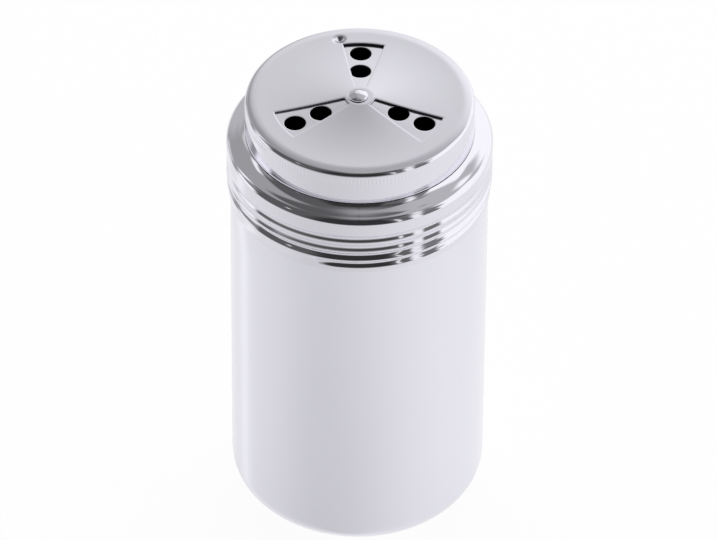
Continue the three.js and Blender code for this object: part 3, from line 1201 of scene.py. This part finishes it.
@dataclass
class Studio:
    """Camera, pale floor, lamp and the room that the steel reflects.

    The steel mirrors the floor by floor_levels, at azimuths in degrees, and floor_end holds the
    elevations between which the floor gives way to the cards.
    """

    distance: float = 1.77
    elevation: float = 0.729
    swing: float = math.radians(0.54)
    roll: float = 0.0072
    turned_about: float = 0.06072
    looked_at: tuple[float, float, float] = (-0.000175, 0.0, 0.0682)
    lens: float = 343.5
    lamp_azimuth: float = math.radians(180)
    lamp_elevation: float = math.radians(58)
    lamp_away: float = 1.6
    lamp_about: float = 0.07
    lamp_size: Pair = (1.4, 0.7)
    lamp_watts: float = 16.0
    floor_reach: float = 12.0
    floor_drop: float = 0.0001
    dark: float = 0.035
    white_share: float = 0.96
    mirrored_share: float = 0.88
    floor_end: Pair = (-14.0, -1.0)
    cards: tuple[Card, ...] = (
        # Ceiling with a brighter middle
        Card(180, 90, (180, 20), (10, 14), 0.15),
        Card(180, 90, (180, 8), (10, 12), 0.34),
        # Front: dark walls, with the glow of the floor low on them
        Card(-75, 28, (36, 52), (22, 24), 0.11),
        Card(42, 36, (14, 28), (10, 10), 0.13),
        Card(-20, 0, (80, 14), (24, 12), 0.11),
        Card(-20, 0, (75, 5), (20, 7), 0.38),
        Card(-82, 0, (14, 9), (10, 8), 0.14),
        # Back: pale walls, brighter low down
        Card(180, 30, (34, 56), (24, 24), 0.48),
        Card(122, 40, (48, 42), (10, 30), 0.52),
        Card(180, 0, (34, 42), (24, 22), 0.85),
        Card(160, 0, (18, 42), (22, 22), 1.13),
        Card(180, -10, (36, 34), (16, 14), 1.0),
        Card(140, -5, (24, 40), (14, 10), 1.1),
        # Right: the large bright card
        Card(96.5, 6.5, (25.5, 42.5), (5, 6), 1.08),
        Card(96.5, 0, (32.5, 29), (6, 6), 1.08),
        # Left: grey walls with bright cards
        Card(-135, 35, (30, 45), (10, 30), 0.37),
        Card(-158, 10, (16, 13), (12, 12), 0.52),
        Card(-128, 2, (8, 14), (6, 8), 0.66),
        Card(-99, 24, (8, 12), (6, 10), 0.3),
        Card(-98, 2, (11, 11), (8, 8), 1.1),
        Card(-112, 31, (5, 10), (5, 5), 1.0),
        # Front right: grey gaps, then the tall strip that leans to the right
        Card(83, 60, (8, 4), (5, 5), 0.27),
        Card(60, 42, (14, 16), (5, 8), 0.21),
        Card(57, 8, (8, 20), (5, 8), 0.17),
        Card(43.5, -2, (5.5, 7), (4, 6), 0.7),
        Card(46.6, 12, (3.9, 20), (3, 6), 0.98),
        Card(50.5, 37, (4.5, 8), (3, 4), 0.95),
        Card(55, 45, (4, 5), (3, 4), 0.8),
        Card(61, 53, (4.5, 4), (3, 3), 1.0),
        Card(67, 60, (6, 4), (4, 3), 1.0),
        # Two small lamps
        Card(32.5, 26, (1.6, 18), (1.4, 3), 0.9),
        Card(-64, 39.5, (2.2, 2.6), (1.5, 2), 1.0),
    )
    floor_levels: tuple[Pair, ...] = (
        (-180, 0.94), (-160, 0.93), (-147, 0.87), (-136, 0.87), (-131, 0.95), (-127, 1.0), (-122, 0.98),
        (-117, 0.87), (-111, 0.83), (-95, 0.8), (-80, 0.777), (-67, 0.745), (-55, 0.71), (-42, 0.69),
        (-30, 0.685), (-9, 0.715), (11, 0.765), (34, 0.826), (56, 0.87), (83, 0.9), (118, 0.9),
        (142, 0.92), (160, 0.945), (180, 0.94),
    )

    def camera(self) -> Object:
        """Makes the camera of the photograph's view.

        It stands at the distance and elevation about a point low on the axis, looks at one a little
        higher, and is rolled by a fraction of a degree.

        Returns:
            The camera.
        """
        data = bpy.data.cameras.new("camera")
        data.lens = self.lens
        data.sensor_width = 36.0
        data.clip_start, data.clip_end = 0.05, 50.0
        made = add_object("camera", data)
        back = direction(self.swing, self.elevation)
        made.location = Vector((0, 0, self.turned_about)) + back * self.distance
        view = (Vector(self.looked_at) - made.location).normalized()
        right = view.cross(Vector((0, 0, 1))).normalized()
        up = right.cross(view)
        across = right * math.cos(self.roll) + up * math.sin(self.roll)
        upward = up * math.cos(self.roll) - right * math.sin(self.roll)
        turn = Matrix((across, upward, -view)).transposed()
        made.rotation_mode = "QUATERNION"
        made.rotation_quaternion = turn.to_quaternion()
        bpy.context.scene.camera = made
        return made

    def floor(self) -> Object:
        """Makes the floor: white paper that keeps part of its own shade, so the shadow stays. Most of
        what the steel mirrors of it comes through it from the room below the horizon, and so depends
        on direction alone.

        Returns:
            The floor.
        """
        corners = self.floor_reach * np.array([[-1, -1, 0], [1, -1, 0], [1, 1, 0], [-1, 1, 0]])
        made = piece("floor", corners / MM, np.array([[0, 1, 2, 3]]), NO_TRIANGLES)
        material = bpy.data.materials.new("white_paper_floor")
        tree = blank_tree(material)
        path = add_node(tree, "LightPath").outputs
        paper = add_node(tree, "BsdfDiffuse", Color=linear("f8f8fa"))
        white = add_node(tree, "Emission", Color=(1, 1, 1, 1), Strength=1.0)
        clear = add_node(tree, "BsdfTransparent")
        seen = add_node(
            tree, "Math", path["Is Camera Ray"], path["Is Transmission Ray"], operation="MAXIMUM"
        )
        direct = add_node(tree, "Math", seen, self.white_share, operation="MULTIPLY")
        shown = add_node(tree, "MixShader", direct, paper, white)
        mirrored = add_node(tree, "Math", path["Is Glossy Ray"], self.mirrored_share, operation="MULTIPLY")
        mixed = add_node(tree, "MixShader", mirrored, shown, clear)
        add_node(tree, "OutputMaterial", mixed)
        made.data.materials.append(material)
        made.location.z = -self.floor_drop
        return made

    def room(self) -> bpy.types.World:
        """Makes the room: near black in front, with bright cards to the sides and behind, and below
        the horizon the white floor's level, all as a function of direction alone. A card's share is
        the product of two eased steps, of the distances from its middle in azimuth and in elevation.
        The camera sees plain white.

        Returns:
            The world.
        """
        world = bpy.data.worlds.new("studio_room")
        bpy.context.scene.world = world
        tree = blank_tree(world)
        way = add_node(tree, "TexCoord").outputs["Generated"]
        split = add_node(tree, "SeparateXYZ", way).outputs
        front = add_node(tree, "Math", split[1], -1.0, operation="MULTIPLY")
        azimuth = add_node(tree, "Math", split[0], front, operation="ARCTAN2")
        height = add_node(tree, "Math", split[2], operation="ARCSINE")
        fading = {"interpolation_type": "SMOOTHSTEP", "To_Min": 1.0, "To_Max": 0.0}
        total = self.dark
        for card in self.cards:
            covers = []
            for value, centre, size, soft, whole in (
                (azimuth, card.azimuth, card.size[0], card.soft[0], math.pi),
                (height, card.elevation, card.size[1], card.soft[1], 2 * math.pi),
            ):
                away = add_node(tree, "Math", value, math.radians(centre), operation="SUBTRACT")
                away = add_node(tree, "Math", away, whole, -whole, operation="WRAP")
                away = add_node(tree, "Math", away, operation="ABSOLUTE")
                start, end = math.radians(size - soft / 2), math.radians(size + soft / 2)
                covers.append(add_node(tree, "MapRange", away, From_Min=start, From_Max=end, **fading))
            cover = add_node(tree, "Math", *covers, operation="MULTIPLY")
            total = add_node(tree, "Mix", data_type="FLOAT", Factor=cover, A=total, B=card.level)
        turn = add_node(
            tree, "MapRange", azimuth, From_Min=-math.pi, From_Max=math.pi, To_Min=0.0, To_Max=1.0
        )
        levels = add_node(tree, "ValToRGB", turn)
        stops = levels.color_ramp.elements
        while len(stops) < len(self.floor_levels):
            stops.new(0.5)
        for stop, (angle, level) in zip(stops, self.floor_levels):
            stop.position = (angle + 180) / 360
            stop.color = (level, level, level, 1)
        low, high = (math.radians(angle) for angle in self.floor_end)
        below = add_node(tree, "MapRange", height, From_Min=low, From_Max=high, **fading)
        total = add_node(tree, "Mix", data_type="FLOAT", Factor=below, A=total, B=levels)
        room = add_node(tree, "Background", Color=(1, 1, 1, 1), Strength=total)
        plain = add_node(tree, "Background", Color=(1, 1, 1, 1), Strength=1.0)
        seen = add_node(tree, "LightPath").outputs["Is Camera Ray"]
        mixed = add_node(tree, "MixShader", seen, room, plain)
        add_node(tree, "OutputWorld", mixed)
        return world

    def lamp(self) -> Object:
        """Hangs a soft lamp behind the object, facing it. The steel mirrors the cards in its place.

        Returns:
            The lamp.
        """
        data = bpy.data.lights.new("back_softbox", "AREA")
        data.shape = "RECTANGLE"
        data.size, data.size_y = self.lamp_size
        data.energy = self.lamp_watts
        made = add_object("back_softbox", data)
        toward = direction(self.lamp_azimuth, self.lamp_elevation)
        made.location = toward * self.lamp_away + Vector((0, 0, self.lamp_about))
        made.rotation_mode = "QUATERNION"
        made.rotation_quaternion = (-toward).to_track_quat("-Z", "Y")
        made.visible_glossy = False
        return made

    def build(self) -> None:
        """Sets up the whole studio and the plain view transform."""
        bpy.context.scene.view_settings.view_transform = "Standard"
        self.camera()
        self.floor()
        self.room()
        self.lamp()


def main() -> None:
    """Loads the frame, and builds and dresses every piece."""
    logging.basicConfig(level=logging.INFO, format="%(name)s: %(message)s")
    for existing in list(bpy.data.objects):
        bpy.data.objects.remove(existing)
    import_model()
    Studio().build()
    made = [Cup().build(), ScrewLid().build(), DialCap().build(), *Fasteners().build()]
    for one in made:
        LOG.info("%s: %d faces", one.name, len(one.data.polygons))


if __name__ == "__main__":
    main()
